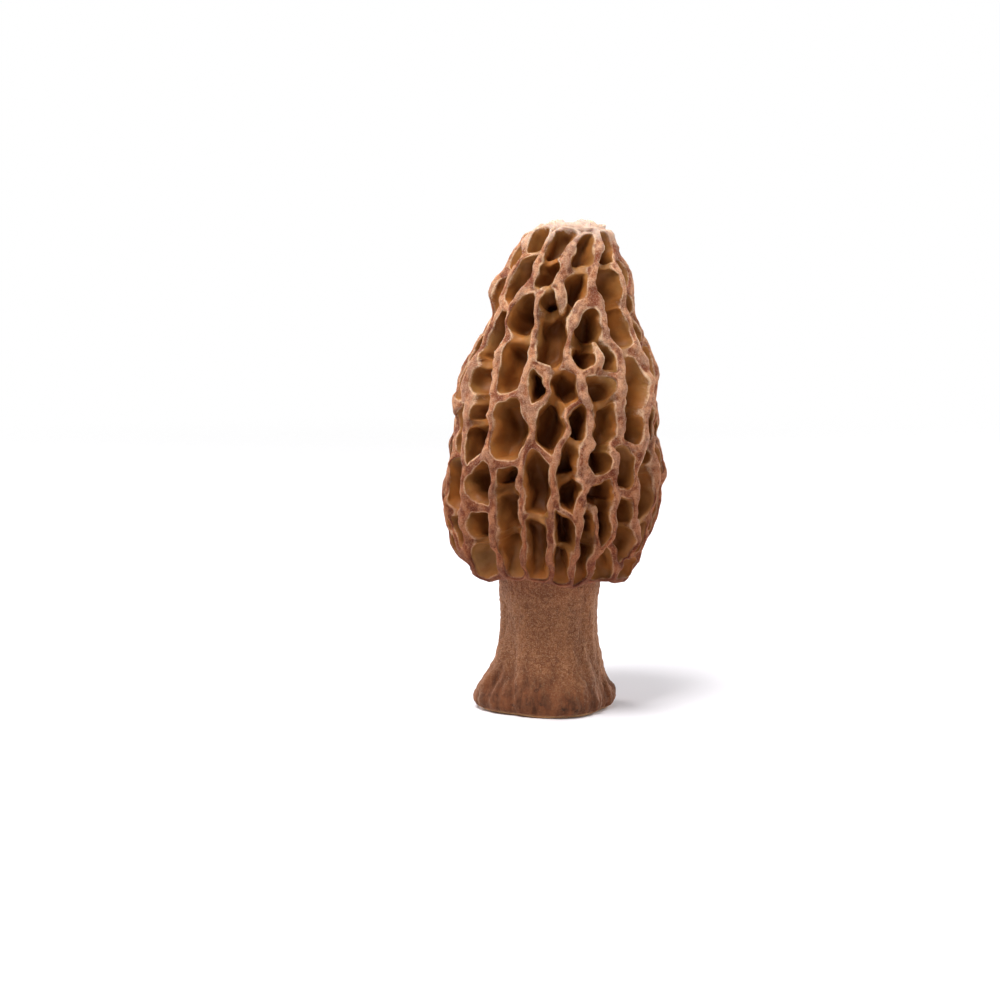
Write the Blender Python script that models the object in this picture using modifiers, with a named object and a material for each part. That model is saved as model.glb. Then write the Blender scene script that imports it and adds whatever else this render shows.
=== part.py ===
"""A fresh morel mushroom standing on its cut stem, modelled in Blender 4.5. Metres, +Z up.

The morel is hollow from the cut end of the stem to the tip of the cap. Its cap is a shell
with a net of ribs outside, and every mesh of the net is a deep pit. The stem is a pale tube
with a flared, creased foot, and its upper end sits in the mouth of the cap.

Run it with blender --background --python part.py, or from Blender's text editor.
"""

import math
import random

import bmesh
import bpy
import numpy as np
from mathutils import Vector, noise

MM = 0.001  # sizes are stated in millimetres, and the mesh is built in metres

# The cap's outline over the rib crests: (half width, height above the ground).
CAP_OUTLINE = [
    (0.0, 98.0),
    (4.4, 97.6),
    (8.4, 95.2),
    (12.2, 89.8),
    (14.8, 83.0),
    (16.6, 75.5),
    (19.6, 67.5),
    (20.9, 57.5),
    (21.8, 47.0),
    (20.8, 37.5),
    (18.8, 31.2),
    (15.4, 27.1),
]
# The hollow of the cap, from its mouth on the stem to its tip.
HOLLOW_OUTLINE = [
    (7.2, 30.3),
    (7.4, 33.0),
    (8.8, 38.0),
    (11.4, 46.0),
    (11.8, 54.0),
    (10.8, 63.0),
    (8.6, 72.0),
    (6.4, 80.0),
    (4.0, 87.0),
]
HOLLOW_TIP = 90.5
THIN_WALL = 1.3  # what is left between the deepest pits and the hollow
SLOPE_STEP = 0.6  # the slope of the outline is read off this far to each side of a place
# The stem's outer wall, from the cut end to the top, before the foot's lobes are added.
STEM_OUTLINE = [
    (11.2, 0.0),
    (12.4, 1.3),
    (12.2, 3.2),
    (11.0, 6.5),
    (10.0, 11.0),
    (9.6, 16.0),
    (9.7, 21.0),
    (10.1, 25.0),
    (10.4, 27.6),
    (10.4, 30.0),
]
# The stem's bore, from the top to the cut end.
BORE_OUTLINE = [
    (7.0, 30.0),
    (6.4, 24.0),
    (6.2, 14.0),
    (6.6, 6.0),
    (7.4, 0.0),
]

# How far the morel leans towards +X at its tip, and how that lean grows with height.
LEAN = 4.2
LEAN_POWER = 2.2
FOOT_SHIFT = -0.8

# Where the cap swells out or draws in: (angle round it, height, reach out, and how far the
# swell spreads round it in degrees and up and down in mm). Angle 0 is +X and -90 the front.
CAP_SWELLS = [
    (180, 77.0, -1.9, 34, 3.0),
    (180, 67.0, 0.5, 30, 5.0),
    (0, 84.0, -0.6, 40, 9.0),
    (0, 51.0, 0.3, 45, 8.0),
    (0, 56.0, -0.5, 30, 5.0),
    (180, 56.0, -0.5, 35, 6.0),
    (180, 37.0, 0.6, 40, 7.0),
]
RIM_TILT = 0.3  # how far the rim hangs lower at +X than in the middle
RIM_WAVE = 1.1
RIM_WAVE_RATE = 2.1  # how quickly the wave changes round the rim
RIM_FADE_POWER = 6  # tilt and wave fade out up the cap, the sooner the higher this is

# The pits of the front, as (across from the foot's middle, height). Each list is one channel,
# from the top down, and its pits are parted only by low sills.
FRONT_PITS = [
    [(-1.2, 96.0)],
    [(0.2, 94.0), (-1.8, 88.0)],
    [(5.2, 92.3)],
    [(11.0, 92.5)],
    [(11.0, 86.5), (12.8, 77.0)],
    [(4.2, 85.0)],
    [(-1.2, 83.5), (-1.0, 75.5)],
    [(-7.4, 87.0)],
    [(-7.0, 80.5)],
    [(15.8, 82.5)],
    [(18.0, 74.5)],
    [(6.8, 78.5), (5.8, 72.0)],
    [(11.2, 71.0)],
    [(9.2, 66.0), (9.6, 60.0), (9.6, 53.5)],
    [(9.4, 46.5), (9.8, 39.5)],
    [(9.6, 32.0)],
    [(16.4, 66.5), (17.0, 58.0)],
    [(19.2, 52.0), (19.0, 45.0)],
    [(-8.2, 70.5)],
    [(-4.0, 66.5)],
    [(1.6, 67.5), (-0.8, 59.5)],
    [(4.6, 58.5)],
    [(1.4, 51.5), (2.8, 45.0)],
    [(-12.6, 75.0), (-15.0, 68.5), (-14.6, 62.5)],
    [(-9.4, 58.5)],
    [(-16.6, 55.5)],
    [(-3.4, 47.5)],
    [(-9.8, 49.5), (-9.4, 42.0), (-8.6, 33.2)],
    [(-15.4, 46.5)],
    [(-14.6, 38.5), (-13.8, 31.5)],
    [(-3.2, 33.2)],
    [(2.0, 39.0), (1.8, 32.2)],
    [(6.2, 40.0), (5.6, 32.2)],
    [(14.6, 49.0)],
    [(13.8, 40.5), (13.4, 32.4)],
    [(18.2, 35.0)],
]
FRONT_HALF_ANGLE = 62.0  # the front pits reach this far to each side of the front, -Y
CLEAR_OF_FRONT = 5.0  # the other pits' middles keep this far from theirs

# The pits of the sides and the back, in rows.
FIRST_ROW = 7.2  # from the tip to the first row, measured along the outline
ROW_SPACING = 5.2
LAST_ROW_RISE = 4.6  # from the rim up to the last row
PIT_PITCH_TOP = 7.4  # width of a pit and its rib near the tip
PIT_PITCH_BOTTOM = 5.8
SIDE_JITTER = 0.24  # of the pitch
DROP_JITTER = 0.26  # of the row spacing
TURN_JITTER = 0.08  # of the step between two pits of a row
FEWEST_IN_A_ROW = 4

# The ribs between the pits.
NET_SPAN = 112.0  # the outline's length, were it to run on and close under the cap
STRAIGHTNESS = 0.8  # 0 leaves the ribs zigzag, 1 makes them run straight down
CREST_SWELL = 0.7  # how far single stretches of rib stand out or sink back
CREST_SWELL_SIZE = 5.5
CREST_SWELL_REACH = 3.0  # the swell of a crest dies away this far down its walls
BODY_SWELL = 0.018  # slow bulges of the whole cap, as a share of its radius
BODY_SWELL_SIZE = 17.0
RIB_HALF_WIDTH = 0.78
WIDTH_CHANGE = 0.6  # the share by which a rib is wider or narrower from place to place
WIDTH_CHANGE_SIZE = 4.0
WIDEST_RIB = 0.6  # a rib takes up no more than this share of the way to the pit's middle
CORNER_FILLET = 1.3  # the half width at a junction of ribs, against that along a rib
PIT_DEPTH = 7.2
PIT_DEPTH_TIP = 3.4
PIT_DEPTH_RIM = 3.0
TIP_SHALLOWS = 26.0  # the pits reach their full depth this far from the tip
RIM_SHALLOWS = 14.0  # and this far from the rim
TIP_DIMPLE = 0.15
FLOOR_SINK = 1.04  # the middle of a pit's floor, against the pit's depth
CROSS_RISE = 0.62  # a rib is a cross rib if it drops by less than this share of its length
CROSS_CLEAR_OF_TIP = 9.2  # and none of the ribs this near the tip is one
CHANNEL_SILL_DEPTH = (3.6, 5.6)
SILL_WIDTH = 0.5  # the low part of a channel's sill, as a share of its length
SILL_SPREAD = 0.16  # the share by which a rib is wider for each mm that it lies low
SILL_SHARE = 0.5  # of the cross ribs outside the front lie low, as sills
SILL_DEPTH = (2.0, 4.8)
CROSS_DIP = (0.6, 2.8)  # the other cross ribs sag between the ribs that run down
LONG_RIB = 4.6  # a rib piece longer than this gets a point between its ends
RIB_WAVE = 0.5
RIB_WAVE_RADIUS = 4.0  # near the tip the wave is that of a cap of this radius
# Each ring of a pit's wall: share of the way from crest to floor, rib half widths in, and
# share of the rest of the way in to the pit's middle.
PIT_RINGS = [(0.03, 0.90, 0.0), (0.20, 1.06, 0.02), (0.86, 1.30, 0.13)]

# The underside, and the mouth that takes the stem.
MOUTH_RADIUS = 10.8
UNDERSIDE_RISE = 0.9
SEAT_HEIGHT = 30.3
HOLLOW_RINGS = 8

# The foot of the stem: lobes of unlike size where creases run up from the cut end.
STEM_SIDES = 40
STEM_RINGS = 16
BORE_RINGS = 8
FOOT_LOBES = [(180, 3.4, 34), (285, 1.4, 26), (20, 1.6, 30), (95, 1.0, 24)]
FOOT_HEIGHT = 7.5
FOOT_LEVEL = 1.5  # the height where the lobes reach furthest
CUT_EDGE_HEIGHT = 1.0  # below this the lobes are drawn in to the cut
CUT_EDGE_SHARE = 0.75
STEM_CREASES = 7
CREASE_DEPTH = 0.28
CREASE_TWIST = 0.12  # radians for each mm of height
CREASE_TOP = 26.0
CREASE_FADE = 10.0  # the creases fade out over this height below their top
OUTER_FROM = 8.0  # what is further out than this belongs to the stem's outer wall
MERGE_DISTANCE = 0.01

SEED = 9

CAP_COLOUR = (0.36, 0.19, 0.09, 1.0)
CAP_ROUGHNESS = 0.62
STEM_COLOUR = (0.50, 0.32, 0.20, 1.0)
STEM_ROUGHNESS = 0.75


# Outlines

def smooth_curve(points, steps=12):
    """Points along a smooth curve through the outline's points, which are held as given."""
    corners = np.array(points, float)
    before = np.vstack([2 * corners[0] - corners[1], corners[:-2]])
    after = np.vstack([corners[2:], 2 * corners[-1] - corners[-2]])
    curve = []
    for a, b, c, d in zip(before, corners[:-1], corners[1:], after):
        for t in np.arange(steps) / steps:
            curve.append(
                0.5 * (2 * b + (c - a) * t + (2 * a - 5 * b + 4 * c - d) * t**2
                       + (3 * b - a - 3 * c + d) * t**3)
            )
    curve.append(corners[-1])
    return np.array(curve)


def lengths_along(curve):
    pieces = np.linalg.norm(np.diff(curve, axis=0), axis=1)
    return np.concatenate([[0.0], np.cumsum(pieces)])


CAP_CURVE = smooth_curve(CAP_OUTLINE)
CAP_LENGTHS = lengths_along(CAP_CURVE)
CAP_LENGTH = float(CAP_LENGTHS[-1])
HOLLOW_CURVE = smooth_curve(HOLLOW_OUTLINE + [(0.0, HOLLOW_TIP)])


def outline_at(curve, lengths, distance):
    """Radius and height at a distance along an outline."""
    radius = float(np.interp(distance, lengths, curve[:, 0]))
    height = float(np.interp(distance, lengths, curve[:, 1]))
    return radius, height


def evenly_spaced(curve, count):
    """The curve read off again at evenly spaced points."""
    lengths = lengths_along(curve)
    return [outline_at(curve, lengths, d) for d in np.linspace(0.0, lengths[-1], count)]


def axis_x(height):
    """Where the morel's middle line stands at a height: it leans a little as it rises."""
    share = max(height, 0.0) / CAP_OUTLINE[0][1]
    return FOOT_SHIFT + LEAN * share**LEAN_POWER


def ring_point(radius, height, angle):
    x = axis_x(height) + radius * math.cos(angle)
    return Vector((x, radius * math.sin(angle), height)) * MM


# The cap's surface

def cap_point(angle, distance, depth):
    """The point of the cap at an angle round it, a distance down its outline, and a depth."""
    radius, height = outline_at(CAP_CURVE, CAP_LENGTHS, distance)
    r0, z0 = outline_at(CAP_CURVE, CAP_LENGTHS, distance - SLOPE_STEP)
    r1, z1 = outline_at(CAP_CURVE, CAP_LENGTHS, distance + SLOPE_STEP)
    outward = Vector((z0 - z1, r1 - r0)).normalized()
    around = Vector((math.cos(angle), math.sin(angle), 0.0)) * radius
    place = around + Vector((0.0, 0.0, height))
    radius = radius * (1 + BODY_SWELL * noise.noise(place / BODY_SWELL_SIZE))
    radius += cap_swell(angle, height)
    wall = radius - hollow_radius(height) - THIN_WALL
    near_crest = max(0.0, 1.0 - depth / CREST_SWELL_REACH) * min(1.0, distance / FIRST_ROW)
    stand = CREST_SWELL * noise.noise(place / CREST_SWELL_SIZE) * near_crest
    inward = min(depth, max(wall, 0.0)) - stand
    height += rim_hang(angle, distance)
    return ring_point(radius - outward.x * inward, height - outward.y * inward, angle)


def cap_swell(angle, height):
    """How far the cap swells out there, or draws in if less than nothing."""
    reach_out = 0.0
    for at, level, reach, half_angle, half_height in CAP_SWELLS:
        away = wrapped(angle - math.radians(at)) / math.radians(half_angle)
        above = (height - level) / half_height
        reach_out += reach * math.exp(-away * away - above * above)
    return reach_out


def hollow_radius(height):
    return float(np.interp(height, HOLLOW_CURVE[:, 1], HOLLOW_CURVE[:, 0]))


def rim_hang(angle, distance):
    """The rim hangs lower on one side and waves up and down, and less so further up."""
    round_it = Vector((math.cos(angle), math.sin(angle), 0.0))
    wave = RIM_WAVE * noise.noise(round_it * RIM_WAVE_RATE)
    return (wave - RIM_TILT * round_it.x) * (distance / CAP_LENGTH) ** RIM_FADE_POWER


def pit_depth(distance):
    """Pits are deepest round the middle of the cap, and shallow at its tip and its rim."""
    from_rim = CAP_LENGTH - distance
    tip = PIT_DEPTH_TIP + (PIT_DEPTH - PIT_DEPTH_TIP) * min(1.0, distance / TIP_SHALLOWS)
    rim = PIT_DEPTH_RIM + (PIT_DEPTH - PIT_DEPTH_RIM) * min(1.0, from_rim / RIM_SHALLOWS)
    return min(tip, rim)


# The net is laid out on a ball: a place on it is a unit vector, and its angle from the
# top stands for the distance down the cap's outline.

def on_ball(angle, distance):
    polar = math.pi * distance / NET_SPAN
    return Vector((math.sin(polar) * math.cos(angle), math.sin(polar) * math.sin(angle),
                   math.cos(polar)))


def off_ball(place):
    angle = math.atan2(place.y, place.x)
    distance = NET_SPAN * math.acos(max(-1.0, min(1.0, place.z))) / math.pi
    return angle, distance


def pit_centres(rng):
    """Each pit's (angle, distance, channel). A pit outside the front has no channel."""
    centres = [(0.0, 0.0, None)]
    for channel, pits in enumerate(FRONT_PITS):
        centres += [(*front_place(across, height), channel) for across, height in pits]
    taken = [on_ball(angle, distance) for angle, distance, _ in centres]
    clear = math.pi * CLEAR_OF_FRONT / NET_SPAN
    for angle, distance in rows_of_pits(rng):
        away_from_front = abs(wrapped(angle + math.pi / 2))
        place = on_ball(angle, distance)
        if away_from_front > math.radians(FRONT_HALF_ANGLE):
            if min((place - other).length for other in taken) > clear:
                centres.append((angle, distance, None))
    return centres


def front_place(across, height):
    """Angle and distance down the outline of a place seen from the front."""
    distance = float(np.interp(-height, -CAP_CURVE[:, 1], CAP_LENGTHS))
    radius = outline_at(CAP_CURVE, CAP_LENGTHS, distance)[0]
    share = (across - axis_x(height)) / radius
    return -math.acos(max(-1.0, min(1.0, share))), distance


def rows_of_pits(rng):
    """Rows round the cap, each turned half a pitch against the last."""
    last = CAP_LENGTH - LAST_ROW_RISE
    rows = int((last - FIRST_ROW) / ROW_SPACING)
    for row in range(rows + 1):
        distance = FIRST_ROW + row * (last - FIRST_ROW) / rows
        share = distance / CAP_LENGTH
        pitch = PIT_PITCH_TOP + (PIT_PITCH_BOTTOM - PIT_PITCH_TOP) * share
        round_it = 2 * math.pi * outline_at(CAP_CURVE, CAP_LENGTHS, distance)[0]
        is_last = row == rows
        count = max(FEWEST_IN_A_ROW, round(round_it / (pitch if is_last else 2 * pitch)))
        step = 2 * math.pi / count
        turn = step * (0.5 * row + rng.uniform(-TURN_JITTER, TURN_JITTER)) - math.pi / 2
        for k in range(count):
            side = rng.uniform(-1, 1) * SIDE_JITTER * step * (1.0 if is_last else 0.5)
            drop = rng.uniform(-1, 1) * DROP_JITTER * ROW_SPACING * (0.4 if is_last else 1.0)
            yield turn + k * step + side, distance + drop


def wrapped(angle):
    return (angle + math.pi) % (2 * math.pi) - math.pi


def junction_of(face, pole_seed):
    """Where three pits meet. Ribs are drawn towards running straight down between pits."""
    corners = [v.co for v in face.verts if v != pole_seed]
    if len(corners) == 2:
        start, end = (off_ball(c)[0] for c in corners)
        return on_ball(start + 0.5 * wrapped(end - start), CAP_LENGTH)
    centre = (corners[0] + corners[1] + corners[2]).normalized()
    angle, distance = off_ball(centre)
    if distance < FIRST_ROW:
        return centre
    turns = [wrapped(off_ball(c)[0] - angle) for c in corners]
    middle = 0.5 * (min(turns) + max(turns))
    return on_ball(angle + STRAIGHTNESS * middle, distance)


def net_cells(rng):
    """The pits' borders. Each cell is (centre, [(place, sink, is_corner), ...]), in order."""
    seeds = bmesh.new()
    channels = {}
    for angle, distance, channel in pit_centres(rng):
        channels[seeds.verts.new(on_ball(angle, distance))] = channel
    pole_seed = seeds.verts.new((0.0, 0.0, -1.0))
    channels[pole_seed] = None
    bmesh.ops.convex_hull(seeds, input=seeds.verts)
    seeds.faces.index_update()
    seeds.edges.index_update()
    junctions = {f.index: junction_of(f, pole_seed) for f in seeds.faces}
    between = {}
    for edge in seeds.edges:
        one, other = (channels[v] for v in edge.verts)
        in_channel = one is not None and one == other
        between[edge.index] = rib_between(edge, junctions, pole_seed, in_channel, rng)
    cells = [
        (seed.co.copy(), border_of(seed, junctions, between))
        for seed in seeds.verts
        if seed != pole_seed
    ]
    seeds.free()
    return cells


def rib_between(edge, junctions, pole_seed, in_channel, rng):
    """The points between a rib's two ends, each with its sink below the crest."""
    start, end = (junctions[f.index] for f in edge.link_faces)
    (a0, d0), (a1, d1) = off_ball(start), off_ball(end)
    if pole_seed in edge.verts[:]:
        return [(on_ball(a0 + 0.5 * wrapped(a1 - a0), CAP_LENGTH), 0.0, False)]
    p0, p1 = cap_point(a0, d0, 0.0) / MM, cap_point(a1, d1, 0.0) / MM
    run = (p1 - p0).length
    rise = abs(d1 - d0)
    middle = (start + end).normalized()
    distance = off_ball(middle)[1]
    is_front = abs(wrapped(off_ball(middle)[0] + math.pi / 2)) < math.radians(FRONT_HALF_ANGLE)
    is_cross = rise < CROSS_RISE * run and distance > CROSS_CLEAR_OF_TIP
    shallower = pit_depth(distance) / PIT_DEPTH
    if in_channel or is_cross and is_front:
        sink = rng.uniform(*(CHANNEL_SILL_DEPTH if in_channel else CROSS_DIP)) * shallower
        inset = 0.5 - 0.5 * SILL_WIDTH
        ends = [start.lerp(end, inset).normalized(), start.lerp(end, 1 - inset).normalized()]
        return [(place, sink, False) for place in ends]
    if is_cross:
        low = rng.random() < SILL_SHARE
        sink = rng.uniform(*(SILL_DEPTH if low else CROSS_DIP)) * shallower
        return [(middle, sink, False)]
    if run > LONG_RIB:
        angle = off_ball(middle)[0]
        radius = outline_at(CAP_CURVE, CAP_LENGTHS, distance)[0]
        angle += rng.uniform(-1, 1) * RIB_WAVE / max(radius, RIB_WAVE_RADIUS)
        return [(on_ball(angle, distance), 0.0, False)]
    return []


def border_of(seed, junctions, between):
    """The junctions round one seed in order, with the points of the ribs between them."""
    side = seed.co.orthogonal().normalized()
    up = seed.co.cross(side)
    around = sorted(
        seed.link_faces,
        key=lambda f: math.atan2(
            (f.calc_center_median() - seed.co).dot(up),
            (f.calc_center_median() - seed.co).dot(side),
        ),
    )
    border = []
    for face, following in zip(around, around[1:] + around[:1]):
        border.append((face.index, junctions[face.index], 0.0, True))
        shared = (set(face.edges) & set(following.edges)).pop()
        points = list(enumerate(between[shared.index]))
        if shared.link_faces[0] != face:
            points.reverse()
        for n, (place, sink, corner) in points:
            border.append(((shared.index, n), place, sink, corner))
    return border


# The cap

def build_cap(name):
    rng = random.Random(SEED)
    bm = bmesh.new()
    crest = {}
    faces = {}
    for centre, border in net_cells(rng):
        ring = []
        for key, place, sink, _ in border:
            if key not in crest:
                crest[key] = bm.verts.new(cap_point(*off_ball(place), sink))
            ring.append(crest[key])
        faces[bm.faces.new(ring)] = (centre, border)
    for level in range(len(PIT_RINGS)):
        sink_ring(bm, faces, level)
    floors = [f for f, (centre, _) in faces.items() if not is_tip(centre)]
    centres = [faces[f][0] for f in floors]
    poked = bmesh.ops.poke(bm, faces=floors)
    for vert, centre in zip(poked["verts"], centres):
        angle, distance = off_ball(centre)
        vert.co = cap_point(angle, distance, pit_depth(distance) * FLOOR_SINK)
    hollow_out(bm, [e for e in bm.edges if e.is_boundary])
    bmesh.ops.recalc_face_normals(bm, faces=bm.faces)
    return new_object(name, bm, CAP_COLOUR, CAP_ROUGHNESS)


def is_tip(centre):
    return off_ball(centre)[1] < 0.5 * FIRST_ROW


def sink_ring(bm, faces, level):
    """Insets every pit once more, and moves the new ring to its place on the pit's wall."""
    down, widths_in, share_in = PIT_RINGS[level]
    bmesh.ops.inset_individual(bm, faces=list(faces), thickness=0.0)
    for face, (centre, border) in faces.items():
        middle = cap_point(*off_ball(centre), 0.0)
        for loop, (_, place, sink, is_corner) in zip(face.loops, border):
            crest_point = cap_point(*off_ball(place), 0.0)
            reach = (middle - crest_point).length
            change = 1 + WIDTH_CHANGE * noise.noise(crest_point / (WIDTH_CHANGE_SIZE * MM))
            width = RIB_HALF_WIDTH * change * widths_in * (CORNER_FILLET if is_corner else 1.0)
            width *= 1 + SILL_SPREAD * sink
            share = min(WIDEST_RIB, width * MM / reach)
            share += (1 - share) * share_in
            spot = place.lerp(centre, share).normalized()
            angle, distance = off_ball(spot)
            floor = TIP_DIMPLE if is_tip(centre) else pit_depth(distance)
            loop.vert.co = cap_point(angle, distance, sink + (floor - sink) * down)


def hollow_out(bm, rim):
    """Carries the rim in under the cap, up the mouth, and round the hollow to its tip."""
    hollow = evenly_spaced(smooth_curve(HOLLOW_OUTLINE), HOLLOW_RINGS)
    mouth = [(MOUTH_RADIUS, CAP_OUTLINE[-1][1] + UNDERSIDE_RISE), (MOUTH_RADIUS, SEAT_HEIGHT)]
    edges = rim
    for ring_number, (radius, height) in enumerate(mouth + hollow):
        made = bmesh.ops.extrude_edge_only(bm, edges=edges)["geom"]
        ring = [v for v in made if isinstance(v, bmesh.types.BMVert)]
        ring.sort(key=lambda v: math.atan2(v.co.y, v.co.x - axis_x(v.co.z / MM) * MM))
        for k, vert in enumerate(ring):
            angle = 2 * math.pi * k / len(ring) - math.pi
            hang = rim_hang(angle, CAP_LENGTH) if ring_number == 0 else 0.0
            vert.co = ring_point(radius, height + hang, angle)
        edges = [e for e in made if isinstance(e, bmesh.types.BMEdge) and e.is_boundary]
    closing = bmesh.ops.edgeloop_fill(bm, edges=edges)["faces"]
    bmesh.ops.poke(bm, faces=closing)["verts"][0].co = ring_point(0.0, HOLLOW_TIP, 0.0)


# The stem

def build_stem(name):
    """A turned tube, whose foot is then pushed out into lobes and creased."""
    outer = evenly_spaced(smooth_curve(STEM_OUTLINE[1:-1]), STEM_RINGS)
    bore = evenly_spaced(smooth_curve(BORE_OUTLINE), BORE_RINGS)
    profile = [STEM_OUTLINE[-1], *reversed(outer), STEM_OUTLINE[0], *reversed(bore)]
    mesh = bpy.data.meshes.new(name + "_profile")
    links = [(i, (i + 1) % len(profile)) for i in range(len(profile))]
    mesh.from_pydata([(r * MM, 0.0, z * MM) for r, z in profile], links, [])
    turned = bpy.data.objects.new(name + "_profile", mesh)
    bpy.context.scene.collection.objects.link(turned)
    screw = turned.modifiers.new("Turn", "SCREW")
    screw.steps = screw.render_steps = STEM_SIDES
    screw.use_merge_vertices = True
    screw.merge_threshold = MERGE_DISTANCE * MM
    graph = bpy.context.evaluated_depsgraph_get()
    bm = bmesh.new()
    bm.from_object(turned, graph)
    bpy.data.objects.remove(turned)
    for vert in bm.verts:
        vert.co = stem_point(vert.co)
    bmesh.ops.recalc_face_normals(bm, faces=bm.faces)
    return new_object(name, bm, STEM_COLOUR, STEM_ROUGHNESS)


def stem_point(turned):
    """A point of the turned tube, moved to where the lobed and leaning stem has it."""
    height = turned.z / MM
    radius = math.hypot(turned.x, turned.y) / MM
    angle = math.atan2(turned.y, turned.x)
    if radius > OUTER_FROM:
        radius += foot_lobe(angle, height)
        fade = max(0.0, min(1.0, (CREASE_TOP - height) / CREASE_FADE))
        radius += CREASE_DEPTH * fade * math.cos(STEM_CREASES * angle + CREASE_TWIST * height)
    return ring_point(radius, height, angle)


def foot_lobe(angle, height):
    """How far the foot's lobes push the wall out there."""
    fade = math.exp(-((height - FOOT_LEVEL) / FOOT_HEIGHT) ** 2)
    if height <= CUT_EDGE_HEIGHT:
        fade *= CUT_EDGE_SHARE
    push = 0.0
    for at, reach, half_angle in FOOT_LOBES:
        away = wrapped(angle - math.radians(at)) / math.radians(half_angle)
        push += reach * math.exp(-away * away)
    return push * fade


# Objects

def new_object(name, bm, colour, roughness):
    mesh = bpy.data.meshes.new(name)
    bm.to_mesh(mesh)
    bm.free()
    mesh.shade_smooth()
    obj = bpy.data.objects.new(name, mesh)
    bpy.context.scene.collection.objects.link(obj)
    material = bpy.data.materials.new(name)
    material.use_nodes = True
    shader = material.node_tree.nodes["Principled BSDF"]
    shader.inputs["Base Color"].default_value = colour
    shader.inputs["Roughness"].default_value = roughness
    mesh.materials.append(material)
    return obj


def stand_on_origin(objects):
    """Centres the whole morel's box over the origin, with its foot at height 0."""
    corners = np.array([v.co for o in objects for v in o.data.vertices])
    low, high = corners.min(axis=0), corners.max(axis=0)
    shift = Vector((-(low[0] + high[0]) / 2, -(low[1] + high[1]) / 2, -low[2]))
    for obj in objects:
        obj.location = shift


def main():
    for obj in list(bpy.data.objects):
        bpy.data.objects.remove(obj)
    morel = bpy.data.collections.new("Morel")
    bpy.context.scene.collection.children.link(morel)
    parts = [build_cap("cap"), build_stem("stem")]
    for part in parts:
        bpy.context.scene.collection.objects.unlink(part)
        morel.objects.link(part)
    stand_on_origin(parts)


main()
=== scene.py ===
# %% [markdown]
# # A fresh morel, standing on its cut stem
#
# A morel has two parts that the eye tells apart at once. The cap is a tall net of tan ribs round
# deep brown pits. The stem is a pale tube with a mealy skin and a wide, browned foot. Both are
# hollow, with one cream lining from the cut end to near the tip.
#
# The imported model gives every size. It already has each rib and pit at its real place, in flat
# facets. This script refines those facets into flesh, and then dresses them.

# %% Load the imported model
import math

import bmesh
import bpy
import numpy as np
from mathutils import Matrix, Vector
from mathutils.bvhtree import BVHTree


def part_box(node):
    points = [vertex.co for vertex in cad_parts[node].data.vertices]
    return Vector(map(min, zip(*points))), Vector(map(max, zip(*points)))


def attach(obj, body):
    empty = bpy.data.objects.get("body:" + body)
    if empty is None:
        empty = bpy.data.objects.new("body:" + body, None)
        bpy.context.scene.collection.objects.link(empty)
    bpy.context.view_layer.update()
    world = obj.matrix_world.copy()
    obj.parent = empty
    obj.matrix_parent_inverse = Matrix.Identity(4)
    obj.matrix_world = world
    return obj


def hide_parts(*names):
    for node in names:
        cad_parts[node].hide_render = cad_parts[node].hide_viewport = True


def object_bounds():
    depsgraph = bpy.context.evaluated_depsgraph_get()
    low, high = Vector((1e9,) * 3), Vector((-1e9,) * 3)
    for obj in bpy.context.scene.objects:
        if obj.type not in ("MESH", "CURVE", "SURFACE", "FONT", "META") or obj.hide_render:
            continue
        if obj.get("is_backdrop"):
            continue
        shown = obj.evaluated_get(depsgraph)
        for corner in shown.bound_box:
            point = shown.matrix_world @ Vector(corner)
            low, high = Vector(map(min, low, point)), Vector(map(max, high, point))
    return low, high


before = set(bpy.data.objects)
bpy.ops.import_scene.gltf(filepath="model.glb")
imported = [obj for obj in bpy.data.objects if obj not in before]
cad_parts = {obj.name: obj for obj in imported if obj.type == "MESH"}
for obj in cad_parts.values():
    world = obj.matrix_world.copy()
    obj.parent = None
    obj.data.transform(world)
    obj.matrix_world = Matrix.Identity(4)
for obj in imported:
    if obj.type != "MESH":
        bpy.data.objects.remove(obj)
cad_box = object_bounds()
MM = 0.001
cap_low, cap_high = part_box("cap")
stem_low, stem_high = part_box("stem")
print("cap from", round(cap_low.z / MM, 1), "to", round(cap_high.z / MM, 1), "mm high")
print("stem from", round(stem_low.z / MM, 1), "to", round(stem_high.z / MM, 1), "mm high")

# %% [markdown]
# ## Working copies
#
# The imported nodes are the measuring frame, so they stay as they are, and each new piece starts as
# a copy of one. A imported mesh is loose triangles. Its doubles are merged to make it one skin, and
# its triangles are joined in pairs, because a subdivision surface flows well over four-sided faces
# and puckers on triangles.

# %% Helpers to pick a piece and to edit it
def work_on(piece):
    """Makes this piece the only one selected, and the active one."""
    bpy.ops.object.select_all(action="DESELECT")
    piece.select_set(True)
    bpy.context.view_layer.objects.active = piece


def pick_faces(piece, wanted):
    """In edit mode, selects the faces for which wanted(face) is true, and counts them."""
    bpy.ops.mesh.select_all(action="DESELECT")
    bpy.ops.mesh.select_mode(type="FACE")
    skin = bmesh.from_edit_mesh(piece.data)
    skin.faces.ensure_lookup_table()
    chosen = 0
    for face in skin.faces:
        if wanted(face):
            face.select_set(True)
            chosen += 1
    bmesh.update_edit_mesh(piece.data)
    return chosen


# %% Copy a node as one skin of four-sided faces
WELD = 0.002 * MM


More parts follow.
